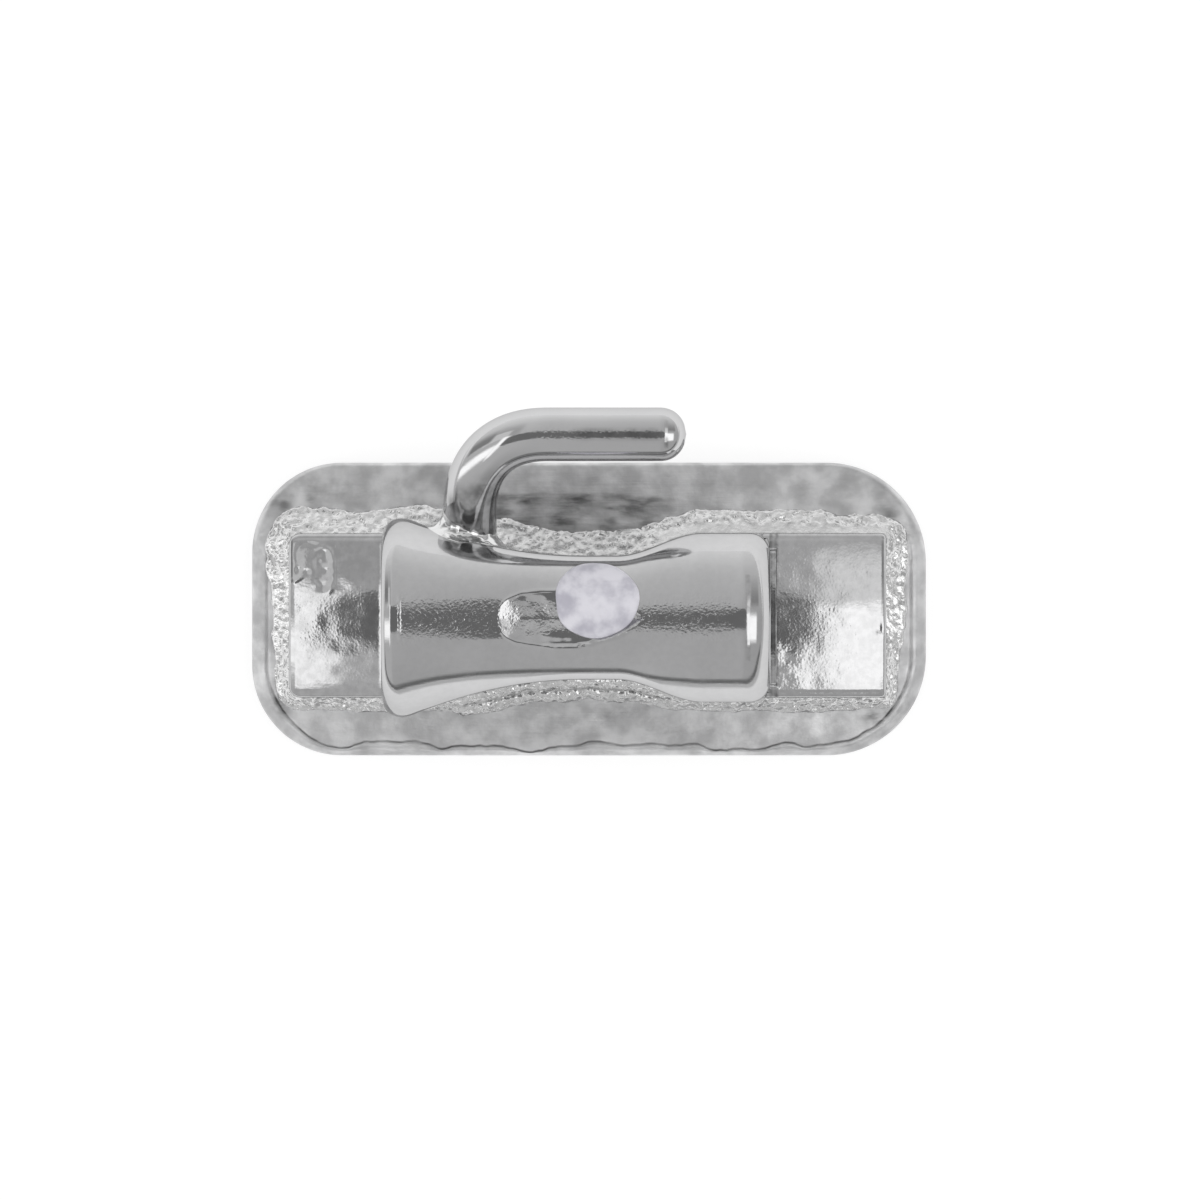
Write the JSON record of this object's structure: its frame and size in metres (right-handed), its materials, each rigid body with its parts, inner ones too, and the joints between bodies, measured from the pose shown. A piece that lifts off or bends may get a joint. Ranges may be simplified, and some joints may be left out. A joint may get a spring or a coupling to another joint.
{
  "type": "orthodontic buccal tube",
  "caption": "Small steel molar tube on a curved mesh-backed bonding pad, with a rectangular archwire slot, a funnelled mouth, a bent wire hook and a paint dot.",
  "frame": {"origin": "middle of the pad's tooth side, on the middle knuckle of the mesh", "axes": "+X along the slot to the distal end, +Y to the gum, where the hook is, +Z away from the tooth to the cheek"},
  "size_m": [0.007, 0.0036, 0.0025],
  "materials": {
    "polished_steel": "tumble polished stainless steel with a faintly pebbled skin",
    "silver_braze": "bright grainy silver braze",
    "pad_steel": "satin stainless foil with faint scratches",
    "mesh_steel": "matt woven stainless wire",
    "mark_paint": "opaque pale lavender enamel paint"
  },
  "bodies": {
    "root": {"tube_body": "polished_steel", "hook": "polished_steel", "hook_braze": "silver_braze", "pad_braze": "silver_braze", "pad_foil": "pad_steel", "pad_mesh": "mesh_steel", "id_mark": "mark_paint"}
  },
  "joints": []
}
